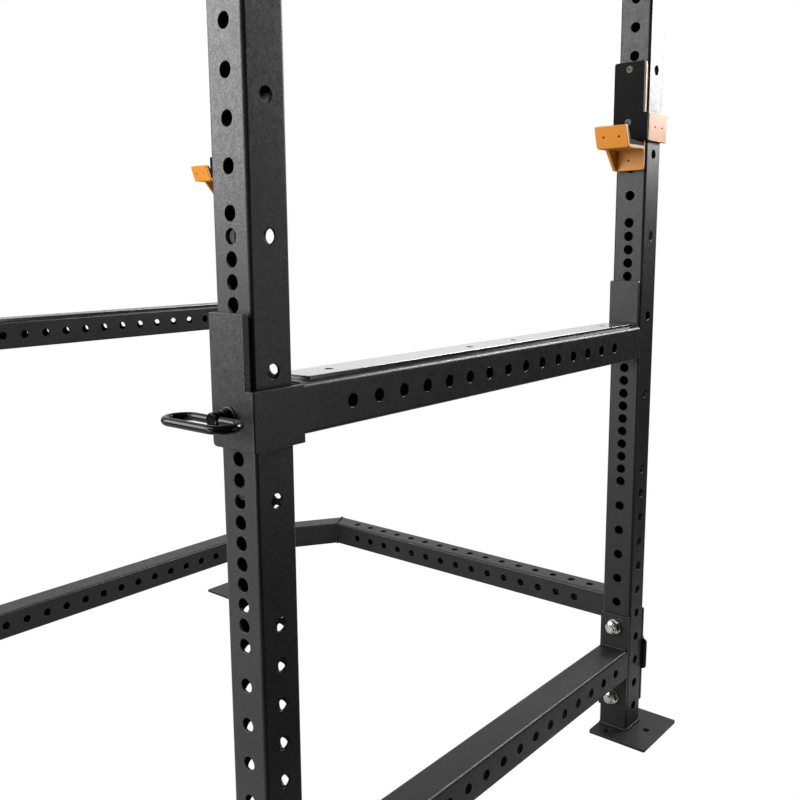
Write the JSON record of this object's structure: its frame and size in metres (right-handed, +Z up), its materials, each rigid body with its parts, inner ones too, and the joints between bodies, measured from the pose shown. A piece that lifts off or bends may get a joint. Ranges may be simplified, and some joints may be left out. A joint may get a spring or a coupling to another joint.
{
  "type": "power cage",
  "caption": "Free-standing black steel power cage with perforated uprights, bolted crossmembers, pinned safety beams and orange bar cups.",
  "frame": {"origin": "middle of the footprint at floor level, with the pull pins pushed in", "axes": "+X to the cage's right side seen from the front, +Y to the rear where the base crossmember bows out, +Z up"},
  "size_m": [1.34, 1.354, 2.2],
  "materials": {
    "powder_coat": "fine-textured matte black powder coat",
    "gloss_black": "smooth gloss black",
    "black_steel": "zinc-plated steel",
    "cup_orange": "smooth orange powder coat",
    "liner_plastic": "matte black wear plastic",
    "cap_plastic": "matte black moulded plastic",
    "zinc": "bright zinc plating"
  },
  "bodies": {
    "cage": {"upright_right_front": "powder_coat", "upright_right_rear": "powder_coat", "upright_left_front": "powder_coat", "upright_left_rear": "powder_coat", "foot_plate_right_front": "powder_coat", "foot_plate_right_rear": "powder_coat", "foot_plate_left_front": "powder_coat", "foot_plate_left_rear": "powder_coat", "upright_caps": "cap_plastic", "side_base_right": "powder_coat", "side_crown_right": "powder_coat", "side_base_left": "powder_coat", "side_crown_left": "powder_coat", "rear_base_bow": "powder_coat", "rear_top_crossmember": "powder_coat", "pull_up_bar": "powder_coat", "bolts_short": "zinc", "bolts_long": "zinc", "nuts": "zinc", "washers": "zinc", "safety_front_bracket_right": "powder_coat", "safety_front_liner_right": "liner_plastic", "safety_rear_bracket_right": "powder_coat", "safety_rear_liner_right": "liner_plastic", "safety_beam_right": "powder_coat", "safety_strips_right": "liner_plastic", "safety_strip_screws_right": "zinc", "safety_front_bracket_left": "powder_coat", "safety_front_liner_left": "liner_plastic", "safety_rear_bracket_left": "powder_coat", "safety_rear_liner_left": "liner_plastic", "safety_beam_left": "powder_coat", "safety_strips_left": "liner_plastic", "safety_strip_screws_left": "zinc"},
    "pull_pin_right": {"pull_pin_right": "black_steel", "pull_handle_right": "gloss_black"},
    "bar_cup_right": {"cup_frame_right": "cup_orange", "cup_peg_right": "zinc", "cup_rear_liner_right": "liner_plastic", "cup_face_liner_right": "liner_plastic", "cup_screws_right": "zinc", "cup_seat_liner_right": "liner_plastic"},
    "pull_pin_left": {"pull_pin_left": "black_steel", "pull_handle_left": "gloss_black"},
    "bar_cup_left": {"cup_frame_left": "cup_orange", "cup_peg_left": "zinc", "cup_rear_liner_left": "liner_plastic", "cup_face_liner_left": "liner_plastic", "cup_screws_left": "zinc", "cup_seat_liner_left": "liner_plastic"}
  },
  "joints": [
    {"name": "pull_pin_right_slide", "type": "slide", "parent": "cage", "child": "pull_pin_right", "axis": [0, -1, 0], "range_m": [0, 0.07]},
    {"name": "pull_pin_left_slide", "type": "slide", "parent": "cage", "child": "pull_pin_left", "axis": [0, -1, 0], "range_m": [0, 0.07]},
    {"name": "bar_cup_right_slide", "type": "slide", "parent": "cage", "child": "bar_cup_right", "axis": [0, -1, 0], "range_m": [0, 0.07]},
    {"name": "bar_cup_left_slide", "type": "slide", "parent": "cage", "child": "bar_cup_left", "axis": [0, -1, 0], "range_m": [0, 0.07]}
  ]
}
